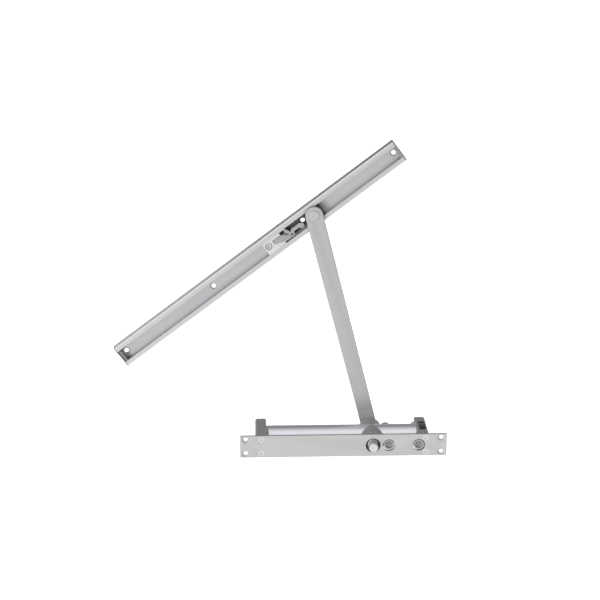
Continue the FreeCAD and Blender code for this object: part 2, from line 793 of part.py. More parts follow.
def rail_section():
    half = rail_wid / 2
    right = [(slot_half, lip_z), (half, lip_z), (half, rail_back_z)]
    inner = [(cavity_half, floor_z), (cavity_half, cavity_top_z), (slot_half, cavity_top_z)]
    left = [(-v, z) for v, z in reversed(right)]
    inner_left = [(-v, z) for v, z in reversed(inner)]
    return right + left + inner_left + inner


def rail_hole_places():
    return [(k - (rail_hole_count - 1) / 2) * rail_hole_pitch for k in range(rail_hole_count)]


def guide_rail():
    half = rail_len / 2 - cap_plate_thk
    corners = [V(-half, v, z) for v, z in rail_section()]
    body = Part.Face(Part.makePolygon(corners + corners[:1])).extrude(V(2 * half, 0, 0))
    outer = [e for e in body.Edges if abs(abs(e.CenterOfMass.y) - rail_wid / 2) < 1e-6
             and abs(e.CenterOfMass.x) < 1e-6]
    body = body.makeFillet(rail_corner_r, outer)
    cuts = [csk_cone(u, 0, floor_z, rail_hole_dia, rail_csk_dia) for u in rail_hole_places()]
    return in_channel(body.cut(cuts))


def rail_end_cap(side):
    half = rail_len / 2
    plate = box(half - cap_plate_thk, half, -rail_wid / 2, rail_wid / 2, rail_back_z, lip_z)
    rounded = [e for e in plate.Edges if abs(abs(e.CenterOfMass.y) - rail_wid / 2) < 1e-6
               and abs(e.CenterOfMass.x - half + cap_plate_thk / 2) < 1e-6]
    plate = plate.makeFillet(rail_corner_r, rounded)
    pegs = []
    for s in (-1, 1):
        near = s * (slot_half + 0.6)
        far = s * (cavity_half - 0.05)
        pegs.append(box(half - cap_plate_thk - cap_peg_len, half - cap_plate_thk + 0.5, min(near, far),
                        max(near, far), floor_z + 0.05, cavity_top_z - 0.05))
    cap = plate.fuse(pegs).removeSplitter()
    if side < 0:
        cap.rotate(V(0, 0, 0), OUT, 180)
    return in_channel(cap)


def hold_open_base():
    half = hold_base_half
    plate = box(hold_left, hold_base_right, -half, half, floor_z, floor_z + hold_base_thk)
    holes = [rod_z(u, 0, floor_z - 1, lip_z, rail_hole_dia + 1)
             for u in rail_hole_places() if hold_left < u < hold_base_right]
    pin = rod_z(catch_pin_u, catch_pin_v, floor_z + hold_base_thk - 0.5, lip_z - catch_sunk, catch_pin_dia)
    return in_channel(plate.cut(holes).fuse(pin).removeSplitter())


def hold_open_block():
    # A T-shaped clamp block, flush with the lips. A shallow sunk face with a groove above it runs
    # into a hollow for the spring and the catch's tail, and the lower edge is cut back beside them.
    bottom = floor_z + hold_base_thk
    shoulder = cavity_top_z - run_fit
    top = lip_z - hold_flush
    foot_half = cavity_half - run_fit
    neck_half = slot_half - run_fit
    foot = box(hold_left, hold_block_right, -foot_half, foot_half, bottom, shoulder)
    neck = box(hold_left, hold_block_right, -neck_half, neck_half, shoulder - 1, top)
    body = foot.fuse(neck).removeSplitter()
    over = top + 1
    out_u = hold_block_right + 1
    spring_u = hold_block_right - hold_cavity_len
    start_u = hold_left + hold_recess_at
    lower_edge = [(start_u + ahead, v) for ahead, v in hold_recess_edge]
    recess = prism([(start_u, hold_recess_v)] + lower_edge + [(out_u, hold_lug_v), (spring_u, hold_recess_v)],
                   top - hold_recess_deep, over)
    groove_low = hold_recess_v - hold_groove_wid
    groove_z = top - hold_groove_deep
    grooves = [box(start_u, spring_u + 1, groove_low, hold_recess_v, groove_z, over),
               box(start_u, start_u + hold_groove_wid / 2, lower_edge[0][1], hold_recess_v, groove_z, over)]
    corner_v = catch_spring_v - catch_spring_dia / 2 - run_fit
    cavity = prism([(spring_u, corner_v), (spring_u + hold_cavity_step, corner_v - 1),
                    (spring_u + hold_lug_at, hold_lug_v), (out_u, hold_lug_v),
                    (out_u, hold_cavity_wall), (spring_u, hold_cavity_wall)],
                   top - hold_cavity_deep, over)
    under = box(spring_u, out_u, -foot_half - 1, hold_under_v, top - hold_cavity_deep, over)
    screw_way = rod_z(hold_screw_at, hold_screw_v, bottom - 1, over, hold_screw_dia + 2 * run_fit)
    mouth = rod_z(hold_screw_at, hold_screw_v, top - hold_screw_mouth_deep, over, hold_screw_mouth)
    return in_channel(body.cut([recess, cavity, under, screw_way, mouth] + grooves))


def hold_open_screw():
    top = lip_z - hold_flush - hold_screw_sunk
    body = rod_z(hold_screw_at, hold_screw_v, floor_z + hold_base_thk + run_fit, top, hold_screw_dia)
    return in_channel(body.cut(hexagon(hold_screw_at, hold_screw_v, hold_screw_socket, top - 3, top + 1)))


def bar(u0, v0, u1, v1, wid, z0, z1):
    # A straight bar between two points, square at its ends
    run = math.hypot(u1 - u0, v1 - v0)
    nu = -(v1 - v0) / run * wid / 2
    nv = (u1 - u0) / run * wid / 2
    return prism([(u0 + nu, v0 + nv), (u0 - nu, v0 - nv), (u1 - nu, v1 - nv), (u1 + nu, v1 + nv)], z0, z1)


def hold_open_catch():
    top = lip_z - catch_sunk
    low = top - catch_thk
    eye = rod_z(catch_pin_u, catch_pin_v, low, top, catch_eye_dia)
    nose = rod_z(catch_nose_u, catch_nose_v, low, top, catch_nose_dia)
    knee_u = catch_pin_u + catch_knee_ahead
    knee_v = catch_pin_v + catch_knee_rise
    finger_u = catch_nose_u - catch_nose_step
    arms = [bar(catch_pin_u, catch_pin_v, knee_u, knee_v, catch_neck_wid, low, top),
            rod_z(knee_u, knee_v, low, top, catch_neck_wid),
            bar(knee_u, knee_v, finger_u, knee_v, catch_neck_wid, low, top),
            rod_z(finger_u, knee_v, low, top, catch_neck_wid),
            bar(catch_pin_u, catch_pin_v, catch_tail_u, catch_tail_v, catch_tail_wid, low, top),
            rod_z(catch_tail_u, catch_tail_v, low, top, catch_tail_wid)]
    body = eye.fuse([nose] + arms).removeSplitter()
    hole = rod_z(catch_pin_u, catch_pin_v, low - 1, top + 1, catch_pin_dia + 2 * run_fit)
    return in_channel(body.cut(hole))


def hold_open_spring():
    wall_u = hold_block_right - hold_cavity_len
    tail_face = catch_tail_u - catch_tail_wid / 2
    mid_z = lip_z - catch_sunk - catch_thk / 2
    return in_channel(coil(V(wall_u, catch_spring_v, mid_z), tail_face - wall_u, catch_spring_dia,
                           catch_spring_wire, catch_spring_turns))


nodes = {
    "faceplate": faceplate(),
    "faceplate_screws": faceplate_screws(),
    "closer_housing": closer_housing(),
    "left_bracket": left_bracket(),
    "left_bracket_seal": left_bracket_seal(),
    "adjuster_seal": adjuster_seal(),
    "spring_adjuster": spring_adjuster(),
    "adjuster_clip": adjuster_clip(),
    "spring_seat": spring_seat(),
    "main_spring": main_spring(),
    "piston": piston(),
    "piston_seal": piston_seal(),
    "check_valve_seat": check_valve_seat(),
    "check_ball": check_ball(),
    "pinion": pinion(),
    "bearing_front": bearing_front(),
    "bearing_rear": mirrored_z(bearing_front()),
    "bearing_cap_front": bearing_cap_front(),
    "bearing_cap_rear": mirrored_z(bearing_cap_front()),
    "shaft_seal_front": shaft_seal_front(),
    "shaft_seal_rear": mirrored_z(shaft_seal_front()),
    "closing_valve_plug": valve_plug(valve_a_x),
    "latching_valve_plug": valve_plug(valve_b_x),
    "closing_needle": needle(valve_a_x),
    "latching_needle": needle(valve_b_x),
    "rear_valve_plugs": rear_valve_plugs(),
    "arm": arm(),
    "arm_washer": arm_washer(),
    "arm_screw": arm_screw(),
    "slide_rivet": slide_rivet(),
    "pivot_spacer": pivot_spacer(),
    "slide_block": slide_block(),
    "block_bush": block_bush(),
    "guide_rail": guide_rail(),
    "rail_end_cap_left": rail_end_cap(-1),
    "rail_end_cap_right": rail_end_cap(1),
    "hold_open_base": hold_open_base(),
    "hold_open_block": hold_open_block(),
    "hold_open_screw": hold_open_screw(),
    "hold_open_catch": hold_open_catch(),
    "hold_open_spring": hold_open_spring(),
}

os.makedirs("parts", exist_ok=True)
for name, shape in nodes.items():
    shape.translate(V(0, 0, plate_thk))
    shape.exportStep(os.path.join("parts", name + ".step"))
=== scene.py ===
# %% [markdown]
# A concealed door closer, dressed for a studio picture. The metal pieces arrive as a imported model
# in real metres. This lesson adds the camera, the light and the finishes, and models again those
# pieces whose edges and small forms the eye looks for: the plate, the arm, the channel and the
# little hold-open latch.

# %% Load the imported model
import json
import math

import bpy
import bmesh
from mathutils import Matrix, Vector


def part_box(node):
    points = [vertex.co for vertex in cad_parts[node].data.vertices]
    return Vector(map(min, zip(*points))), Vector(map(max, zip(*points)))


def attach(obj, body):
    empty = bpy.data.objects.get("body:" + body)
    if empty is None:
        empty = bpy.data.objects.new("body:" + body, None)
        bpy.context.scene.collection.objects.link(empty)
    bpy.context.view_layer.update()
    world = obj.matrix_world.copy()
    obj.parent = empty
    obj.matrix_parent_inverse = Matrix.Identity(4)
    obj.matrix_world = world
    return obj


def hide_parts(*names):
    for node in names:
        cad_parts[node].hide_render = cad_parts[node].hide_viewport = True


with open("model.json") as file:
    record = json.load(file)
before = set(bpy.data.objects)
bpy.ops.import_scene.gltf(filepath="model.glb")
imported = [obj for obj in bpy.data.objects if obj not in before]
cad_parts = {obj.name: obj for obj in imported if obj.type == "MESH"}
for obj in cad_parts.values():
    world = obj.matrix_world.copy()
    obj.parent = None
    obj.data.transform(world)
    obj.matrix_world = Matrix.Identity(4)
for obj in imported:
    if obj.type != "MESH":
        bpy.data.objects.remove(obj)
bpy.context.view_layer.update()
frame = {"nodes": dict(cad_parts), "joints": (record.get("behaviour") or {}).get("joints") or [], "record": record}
MM = 0.001

# %% [markdown]
# The channel lies askew in the model, so its pieces are drawn straight, along X, and then turned
# into place. The joints of the model say where the spindle and the slide pivot are, and which way
# the channel runs, so nothing has to be measured by eye.

# %% Places read from the joints
joints = {joint["name"]: joint for joint in frame["joints"]}
spindle = Vector(joints["arm_swing"]["pos_m"])
pivot = Vector(joints["slide_pivot"]["pos_m"])
channel_along = Vector(joints["rail_slide"]["axis"])
channel_angle = math.atan2(channel_along.y, channel_along.x)
arm_angle = math.atan2(pivot.y - spindle.y, pivot.x - spindle.x)
arm_length = (pivot - spindle).xy.length
PIVOT_FROM_MIDDLE = 87.75 * MM
channel_middle = pivot - channel_along * PIVOT_FROM_MIDDLE
channel_turn = (Matrix.Translation((channel_middle.x, channel_middle.y, 0))
                @ Matrix.Rotation(channel_angle, 4, "Z"))
arm_turn = Matrix.Translation((spindle.x, spindle.y, 0)) @ Matrix.Rotation(arm_angle, 4, "Z")
print("arm length in mm:", round(arm_length / MM, 1))

# %% [markdown]
# The camera is set as in the photograph: a long lens, well above the object and a little to the
# left. Its three turns are written as a photographer would say them, and the matrix is built from
# them, because Blender's own camera looks along its minus Z axis.

# %% Camera
HALF_PICTURE_PIXELS = 300.0
LENS_FOCAL_PIXELS = 1713.88
YAW = math.radians(2.45)
PITCH = math.radians(18.16)
ROLL = math.radians(-0.23)
# Where the middle of the plate's front lies for the lens: to the right, below and ahead
AIM = Vector((54.73, -182.95, -2150.85)) * MM
NEAREST_SEEN, FARTHEST_SEEN = 0.05, 50.0
plate_front = Vector((0, 0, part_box("faceplate")[1][2]))

turn = Matrix.Rotation(ROLL, 3, "Z") @ Matrix.Rotation(PITCH, 3, "X") @ Matrix.Rotation(YAW, 3, "Y")
camera_data = bpy.data.cameras.new("camera")
camera = bpy.data.objects.new("camera", camera_data)
bpy.context.scene.collection.objects.link(camera)
camera_data.sensor_fit = "HORIZONTAL"
camera_data.angle = 2 * math.atan(HALF_PICTURE_PIXELS / LENS_FOCAL_PIXELS)
camera_data.clip_start = NEAREST_SEEN
camera_data.clip_end = FARTHEST_SEEN
camera.matrix_world = (Matrix.Translation(plate_front - turn.transposed() @ AIM)
                       @ turn.transposed().to_4x4())
bpy.context.scene.camera = camera
print("camera at", [round(c, 3) for c in camera.matrix_world.translation])

# %% [markdown]
# Every finish is a node material. One small function adds a node, sets it and links it, and
# another turns a sRGB hex value, as a painter would pick it, into Blender's linear colour.

# %% Material helpers


def linear(hex_value):
    channels = [int(hex_value[i:i + 2], 16) / 255 for i in (1, 3, 5)]
    return [c / 12.92 if c <= 0.04045 else ((c + 0.055) / 1.055) ** 2.4 for c in channels] + [1.0]


def add_node(tree, kind, settings=None, inputs=None):
    node = tree.nodes.new(kind)
    for key, value in (settings or {}).items():
        setattr(node, key, value)
    for socket, value in (inputs or {}).items():
        if isinstance(value, bpy.types.NodeSocket):
            tree.links.new(value, node.inputs[socket])
        else:
            node.inputs[socket].default_value = value
    return node


def new_material(name):
    material = bpy.data.materials.new(name)
    material.use_nodes = True
    return material, material.node_tree, material.node_tree.nodes["Principled BSDF"]


DRIFT_MM = 14


def speckled_finish(name, light, dark, metallic, roughness, grain_mm, depth_mm):
    # The colour drifts between two close tones. A real grain is a few tenths of a millimetre at
    # most, too fine to show in the render, so it is drawn coarser and lifts the surface a little
    material, tree, shader = new_material(name)
    place = add_node(tree, "ShaderNodeTexCoord").outputs["Object"]
    drift = add_node(tree, "ShaderNodeTexNoise",
                     inputs={"Vector": place, "Scale": 1 / (DRIFT_MM * MM), "Detail": 3.0})
    mix = add_node(tree, "ShaderNodeMix", {"data_type": "RGBA"},
                   {"Factor": drift.outputs["Fac"], "A": linear(dark), "B": linear(light)})
    tree.links.new(mix.outputs["Result"], shader.inputs["Base Color"])
    grain = add_node(tree, "ShaderNodeTexNoise",
                     inputs={"Vector": place, "Scale": 1 / (grain_mm * MM), "Detail": 2.0})
    rough = add_node(tree, "ShaderNodeMapRange",
                     inputs={"Value": grain.outputs["Fac"],
                             "To Min": roughness - 0.05, "To Max": roughness + 0.07})
    tree.links.new(rough.outputs["Result"], shader.inputs["Roughness"])
    bump = add_node(tree, "ShaderNodeBump",
                    inputs={"Height": grain.outputs["Fac"], "Distance": depth_mm * MM, "Strength": 0.5})
    tree.links.new(bump.outputs["Normal"], shader.inputs["Normal"])
    shader.inputs["Metallic"].default_value = metallic
    return material


# %% [markdown]
# Most finishes are named for the real surface, and the comment over each says what that gives the eye; a few are
# painted shade or a painted highlight, and are named so.
# The large parts carry a coat: enamel on the plate, a silver coat on the casting and the arm, and
# anodising on the channel. Small steel parts are zinc plated, and the wear parts are ground, oiled
# or blackened. The numbers are how metallic and how rough a finish is, and the width and depth of
# its grain in millimetres.

# %% Finishes
# Stove enamel hides the steel and leaves a soft even sheen
plate_paint = speckled_finish("satin_silver_stove_enamel", "#B8B8B8", "#B3B3B3", 0.05, 0.50, 0.9, 0.02)
# Die-cast skin under a matt silver coat, grey where light only grazes it
casting_paint = speckled_finish("matt_silver_coated_die_casting", "#BCBCBC", "#B2B2B2",
                                0.12, 0.52, 1.3, 0.05)
# The same coat on a smoother forging, a little darker
arm_paint = speckled_finish("satin_silver_coated_forging", "#B0B0B0", "#A9A9A9", 0.08, 0.46, 1.1, 0.03)
# Aluminium that still mirrors a little through its clear hard skin
anodised = speckled_finish("silver_anodised_aluminium", "#CCCCCE", "#C6C6C8", 0.40, 0.34, 0.8, 0.012)
# Bright plating, pale and half mirroring
zinc_steel = speckled_finish("bright_zinc_plated_steel", "#DCDCDE", "#D2D2D4", 0.45, 0.36, 0.7, 0.012)
# Springs and hardened parts: bare steel, grey and metallic
ground_steel = speckled_finish("ground_spring_steel", "#9A9A9C", "#8C8C90", 0.9, 0.35, 0.7, 0.02)
# The ground end of the pinion, the brightest spot in its window
bright_spindle = speckled_finish("bright_ground_pinion_steel", "#E2E2E4", "#D8D8DA",
                                 0.5, 0.32, 0.7, 0.01)
# Pressings after plating in a barrel, duller than the screws; the same darker grey on the floors of the latch
# block's recesses is painted shade
pressing_and_recess_shade = speckled_finish("zinc_plated_pressing_and_recess_shade", "#ACACAE", "#A0A0A2", 0.30, 0.42, 0.7, 0.012)
# A headed rivet, satin from the same barrel
rivet_zinc = speckled_finish("satin_zinc_plated_rivet", "#C0C0C2", "#B6B6B8", 0.30, 0.44, 0.7, 0.012)
# Dark grey painted shade for the walls of the plate's windows and the gaps round the plugs and the pinion, where
# shade falls
painted_shade_in_gaps = speckled_finish("painted_shade_on_window_and_bore_walls", "#585858", "#4A4A4A", 0.2, 0.55, 0.6, 0.03)
# Darker, rougher grey in the end block's pockets: painted shade where little light reaches
painted_pocket_shade = speckled_finish("painted_shade_in_pockets", "#848484", "#767676", 0.15, 0.6, 1.3, 0.06)
# A painted highlight: the rounded outer edges of the lips are coloured near white, a thin bright line
painted_lip_highlight = speckled_finish("painted_highlight_on_channel_lips", "#F2F2F2", "#E8E8E8",
                                0.75, 0.30, 0.8, 0.006)
# The base tray under the latch, coloured dark grey to stand in for the deep shade on the channel's floor there
dark_tray_painted_shade = speckled_finish("latch_tray_dark_as_painted_shade", "#626264", "#525254", 0.2, 0.5, 0.8, 0.02)
# Oiled black wire with a thin gleam on each coil
blackened_wire = speckled_finish("black_oiled_spring_wire", "#242424", "#1A1A1A", 0.5, 0.45, 0.7, 0.02)
# Turned iron, grey with a dull metal shine
grey_iron = speckled_finish("machined_grey_iron", "#7C7C7C", "#707072", 0.7, 0.5, 0.9, 0.03)
# The ground cylinder keeps a bluish white shine
ground_cylinder = speckled_finish("ground_bright_cylinder", "#F4F4FA", "#EEEEF6", 0.85, 0.34, 0.8, 0.008)
# Moulded plastic, black with a soft gloss
black_acetal = speckled_finish("moulded_black_acetal", "#1A1A1A", "#151515", 0.0, 0.42, 0.7, 0.02)
# Moulded plastic in the channel's grey, without its metal shine
cap_plastic = speckled_finish("moulded_grey_end_cap", "#8E8E8E", "#868686", 0.0, 0.45, 0.8, 0.02)
# Rubber, black and almost without gloss
seal_rubber = speckled_finish("black_nitrile_rubber", "#141414", "#101010", 0.0, 0.7, 0.9, 0.03)
# Porous bearing metal, brown and half bright
bronze = speckled_finish("sintered_bronze", "#B08A58", "#9C7848", 0.85, 0.45, 0.8, 0.03)

finish_of_slot = {
    "plate_silver": plate_paint, "cast_body": casting_paint, "steel": zinc_steel,
    "hard_steel": ground_steel, "arm_silver": arm_paint, "rail_aluminium": anodised,
    "black_plastic": black_acetal, "cap_plastic": cap_plastic, "seal_rubber": seal_rubber,
    "bronze": bronze, "iron": grey_iron,
}
print("slots with a finish:", len(finish_of_slot))

# %% [markdown]
# Each piece of the model names the kind of material it is made of, its slot, so one loop gives all
# of them their finish. Only the small spring in the channel's slot differs from its kind: it is
# wound from black oiled wire.

# %% Give the CAD pieces their finishes
slot_of_node = {s["node"]: s["material_slot"] for s in frame["record"]["subparts"]}
for name, node in frame["nodes"].items():
    node.data.materials.clear()
    node.data.materials.append(finish_of_slot[slot_of_node[name]])
frame["nodes"]["hold_open_spring"].data.materials[0] = blackened_wire
print("finished nodes:", len(frame["nodes"]))

# %% [markdown]
# Every new piece starts from one of Blender's primitives and is shaped in edit mode, as by hand.
# The helpers below do the repeated moves: pick one object, select the faces or edges that pass a
# test, run one operator on them, cut one solid out of another, and round the edges.

# %% Modelling helpers


def pick(piece):
    bpy.ops.object.select_all(action="DESELECT")
    piece.select_set(True)
    bpy.context.view_layer.objects.active = piece


def named(name):
    piece = bpy.context.object
    piece.name = name
    piece.data.name = name
    bpy.ops.object.transform_apply(location=True, rotation=True, scale=True)
    return piece


def add_block(name, low, high):
    bpy.ops.object.select_all(action="DESELECT")
    low, high = Vector(low) * MM, Vector(high) * MM
    bpy.ops.mesh.primitive_cube_add(size=1, location=(low + high) / 2)
    bpy.context.object.scale = high - low
    return named(name)


def add_rod(name, x, y, low, high, radius, sides):
    bpy.ops.object.select_all(action="DESELECT")
    bpy.ops.mesh.primitive_cone_add(vertices=sides, radius1=radius * MM, radius2=radius * MM,
                                    depth=(high - low) * MM,
                                    location=(x * MM, y * MM, (low + high) / 2 * MM))
    return named(name)


def middle_of(part):
    if isinstance(part, bmesh.types.BMVert):
        return part.co / MM
    return sum((v.co for v in part.verts), Vector()) / len(part.verts) / MM


def edit(piece, kind, chosen, operator, **settings):
    pick(piece)
    bpy.ops.object.mode_set(mode="EDIT")
    bpy.ops.mesh.select_mode(type=kind)
    bpy.ops.mesh.select_all(action="DESELECT")
    mesh = bmesh.from_edit_mesh(piece.data)
    parts = {"VERT": mesh.verts, "EDGE": mesh.edges, "FACE": mesh.faces}[kind]
    for part in parts:
        if chosen(part):
            part.select_set(True)
    bmesh.update_edit_mesh(piece.data)
    operator(**settings)
    bpy.ops.object.mode_set(mode="OBJECT")


def everything(part):
    return True


def reaches(edge, axis, length):
    # True where an edge runs further than a length in mm along X (0), Y (1) or Z (2)
    return abs(edge.verts[0].co[axis] - edge.verts[1].co[axis]) > length * MM


def round_edges(piece, chosen, width, segments):
    edit(piece, "EDGE", chosen, bpy.ops.mesh.bevel, offset=width * MM, segments=segments,
         affect="EDGES")


def split_at(piece, place, normal):
    # A flat cut that only adds an edge loop where it crosses
    edit(piece, "FACE", everything, bpy.ops.mesh.bisect, plane_co=Vector(place) * MM, plane_no=normal)


def tidy_normals(piece):
    edit(piece, "FACE", everything, bpy.ops.mesh.remove_doubles, threshold=0.0005 * MM)
    edit(piece, "FACE", everything, bpy.ops.mesh.normals_make_consistent, inside=False)


def apply_modifier(piece, kind, **settings):
    modifier = piece.modifiers.new(kind.lower(), kind)
    for key, value in settings.items():
        setattr(modifier, key, value)
    pick(piece)
    bpy.ops.object.modifier_apply(modifier=modifier.name)


def combine(piece, tool, operation="DIFFERENCE"):
    apply_modifier(piece, "BOOLEAN", object=tool, operation=operation, solver="EXACT")
    bpy.data.objects.remove(tool)


def soften(piece, width, segments=2, angle=32):
    apply_modifier(piece, "BEVEL", width=width * MM, segments=segments, limit_method="ANGLE",
                   angle_limit=math.radians(angle), use_clamp_overlap=True)
    pick(piece)
    bpy.ops.object.shade_smooth_by_angle(angle=math.radians(35))


def turned(name, x, y, profile, sides=64):
    # A lathe: one vertex is drawn out along the profile of (radius, height) and spun about the axis
    bpy.ops.object.select_all(action="DESELECT")
    first_radius, first_height = profile[0]
    bpy.ops.mesh.primitive_plane_add(
        size=MM, location=((x + first_radius) * MM, y * MM, first_height * MM))
    piece = named(name)
    pick(piece)
    bpy.ops.object.mode_set(mode="EDIT")
    bpy.ops.mesh.select_mode(type="VERT")
    bpy.ops.mesh.select_all(action="SELECT")
    bpy.ops.mesh.merge(type="CENTER")
    for (r0, z0), (r1, z1) in zip(profile, profile[1:]):
        step = ((r1 - r0) * MM, 0, (z1 - z0) * MM)
        bpy.ops.mesh.extrude_region_move(TRANSFORM_OT_translate={"value": step})
    bpy.ops.mesh.select_all(action="SELECT")
    bpy.ops.mesh.spin(steps=sides, angle=2 * math.pi, center=(x * MM, y * MM, 0), axis=(0, 0, 1))
    bpy.ops.object.mode_set(mode="OBJECT")
    tidy_normals(piece)
    return piece


def countersink(name, x, y, z, hole, mouth, through):
    # Its cone has an angle of 90 degrees, so it is as deep as it widens to one side
    drop = (mouth - hole) / 2
    return turned(name, x, y,
                  [(0, z - drop - through), (hole / 2, z - drop - through), (hole / 2, z - drop),
                   (mouth / 2, z), (mouth / 2, z + 1), (0, z + 1)], 48)


def copied(piece, name):
    twin = piece.copy()
    twin.data = piece.data.copy()
    twin.name = name
    bpy.context.scene.collection.objects.link(twin)
    return twin


def place_by(piece, matrix):
    piece.data.transform(matrix)


def also_finish(piece, finish, chosen):
    # Gives the faces that pass a test, at their place in mm and their normal, a second finish
    piece.data.materials.append(finish)
    for face in piece.data.polygons:
        if chosen(face.center / MM, face.normal):
            face.material_index = len(piece.data.materials) - 1


def fit(piece, body, slot, *nodes, finish=None):
    # Ties a finished piece to its body and to the nodes it stands for
    piece.data.materials.clear()
    piece.data.materials.append(finish or finish_of_slot[slot])
    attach(piece, body)
    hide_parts(*nodes)
    print(f"{piece.name}: {len(piece.data.polygons)} faces")


# %% [markdown]
# The faceplate is a sawn strip of steel with two rows of countersunk holes and three round windows.
# A cube is brought to its size, its upright corners are rounded, and the holes are cut by turned
# tools, so that every countersink has its true cone. A fine bevel last gives the edges their glint.

# %% Faceplate
PLATE_HALF_LONG, PLATE_HALF_WIDE, PLATE_TOP = 130, 14.5, 3.0
SPINDLE_X = 37.2
VALVES_X = (57.3, 94.8)
# Each window's place along the plate, its radius and the sides of the tool that cuts it
WINDOWS = ((SPINDLE_X, 9.3, 96), (VALVES_X[0], 7.8, 80), (VALVES_X[1], 7.8, 80))
CORNER_HOLES = [(x, y) for x in (-123.0, 123.0) for y in (-9.4, 9.4)]
FACE_SCREWS = [(x, y) for x in (-103.3, 103.3) for y in (-9.4, 9.4)]
CORNER_HOLE, CORNER_MOUTH = 5.2, 9.4
SCREW_HOLE, SCREW_MOUTH = 4.0, 7.6
plate = add_block("faceplate_dressed", (-PLATE_HALF_LONG, -PLATE_HALF_WIDE, 0),
                  (PLATE_HALF_LONG, PLATE_HALF_WIDE, PLATE_TOP))
round_edges(plate, lambda e: reaches(e, 2, 1), 0.8, 4)
for x, radius, sides in WINDOWS:
    combine(plate, add_rod("window", x, 0, -1, 4, radius, sides))
for x, y in CORNER_HOLES:
    combine(plate, countersink("sink", x, y, PLATE_TOP, CORNER_HOLE, CORNER_MOUTH, 2))
for x, y in FACE_SCREWS:
    combine(plate, countersink("sink", x, y, PLATE_TOP, SCREW_HOLE, SCREW_MOUTH, 3))
soften(plate, 0.18, 2)
fit(plate, "closer_body", "plate_silver", "faceplate")
# The walls of the plate's windows get the darker finish, which is painted shade
also_finish(plate, painted_shade_in_gaps, lambda at, normal: abs(normal.z) < 0.3
            and any(math.hypot(at.x - x, at.y) < radius + 0.1 for x, radius, sides in WINDOWS))

# %% [markdown]
# Four small countersunk screws hold the plate to the casting, with hexagon sockets. One is turned
# on the lathe, its socket is pressed in as a six-sided hole, and three copies take the other places.

# %% Faceplate screws
SOCKET_R = 1.35
screw = turned("faceplate_screw_1", *FACE_SCREWS[0],
               [(0, -11), (1.6, -11), (2.0, -10.5), (2.0, 1.2), (3.75, 2.95), (3.45, PLATE_TOP),
                (0, PLATE_TOP)], 48)
combine(screw, add_rod("socket", *FACE_SCREWS[0], 1.6, 4, SOCKET_R, 6))
soften(screw, 0.1, 2)
for k, (x, y) in enumerate(FACE_SCREWS):
    one = copied(screw, f"faceplate_screw_{k + 1}") if k else screw
    place_by(one, Matrix.Translation(((x - FACE_SCREWS[0][0]) * MM, (y - FACE_SCREWS[0][1]) * MM, 0)))
    fit(one, "closer_body", "steel", "faceplate_screws")

# %% [markdown]
# The body is one casting: a long cylinder, a round boss across it for the pinion, two smaller
# bosses for the valves, and a pocketed block at the end. Castings have no sharp inside corners, so
# the joined solids are remeshed as one skin and smoothed, which leaves fillets where they meet. The
# bores are machined after casting, so they are cut last and stay crisp.

# %% Casting of the closer body
AXIS_Z = -29.5
CYLINDER_R = 14.5
BODY_LEFT, BODY_RIGHT = -94.5, 94.4
BLOCK_END, BLOCK_HALF = 108.2, 13.0
BLOCK_REAR = -59.0
BOSS_FRONT = -5.5
BOSS_REAR = 2 * AXIS_Z - BOSS_FRONT
BOSS_R, VALVE_BOSS_R = 14.7, 7.0
POCKET_X, POCKET_Y = (98.2, 106.0), (4.0, 14.0)
POCKETS_Z = ((-34.97, -17.0), (-45.0, -36.37))
SKIN_GRID = 0.75


def add_barrel(name, x0, x1, radius, sides=128):
    bpy.ops.object.select_all(action="DESELECT")
    bpy.ops.mesh.primitive_cylinder_add(vertices=sides, radius=radius * MM, depth=(x1 - x0) * MM,
                                        location=((x0 + x1) / 2 * MM, 0, AXIS_Z * MM),
                                        rotation=(0, math.pi / 2, 0))
    return named(name)


def bracket_block(name, x0, x1, pockets=()):
    # The outer upright corners are rounded, and the pockets are sunk in both sides with a rib between
    block = add_block(name, (x0, -BLOCK_HALF, BLOCK_REAR), (x1, BLOCK_HALF, 0))
    outer = x1 if abs(x1) > abs(x0) else x0
    round_edges(block, lambda e: reaches(e, 2, 1) and abs(middle_of(e).x - outer) < 0.1, 2.5, 5)
    for side in (1, -1):
        for z0, z1 in pockets:
            y0, y1 = sorted((side * POCKET_Y[0], side * POCKET_Y[1]))
            combine(block, add_block("pocket", (POCKET_X[0], y0, z0), (POCKET_X[1], y1, z1)))
    return block


casting = add_barrel("closer_casting", BODY_LEFT, BODY_RIGHT + 0.5, CYLINDER_R)
combine(casting, bracket_block("end_block", BODY_RIGHT, BLOCK_END, POCKETS_Z), "UNION")
combine(casting, add_rod("pinion_boss", SPINDLE_X, 0, BOSS_REAR, BOSS_FRONT, BOSS_R, 96), "UNION")
for x in VALVES_X:
    combine(casting, add_rod("valve_boss", x, 0, -57.6, -0.6, VALVE_BOSS_R, 64), "UNION")
apply_modifier(casting, "REMESH", mode="VOXEL", voxel_size=SKIN_GRID * MM, use_smooth_shade=True)
apply_modifier(casting, "SMOOTH", factor=0.5, iterations=6)
print("casting skin:", len(casting.data.polygons), "faces")

# %% [markdown]
# The cylinder of the casting is ground bright, while the bosses and the block keep the grey of the
# cast skin. All finishes live on one mesh: faces that lie on the cylinder, in the pockets or on the
# front edges of the bores are told by their place and get another material. The pockets and the
# bore edges get a darker one, which is painted shade.

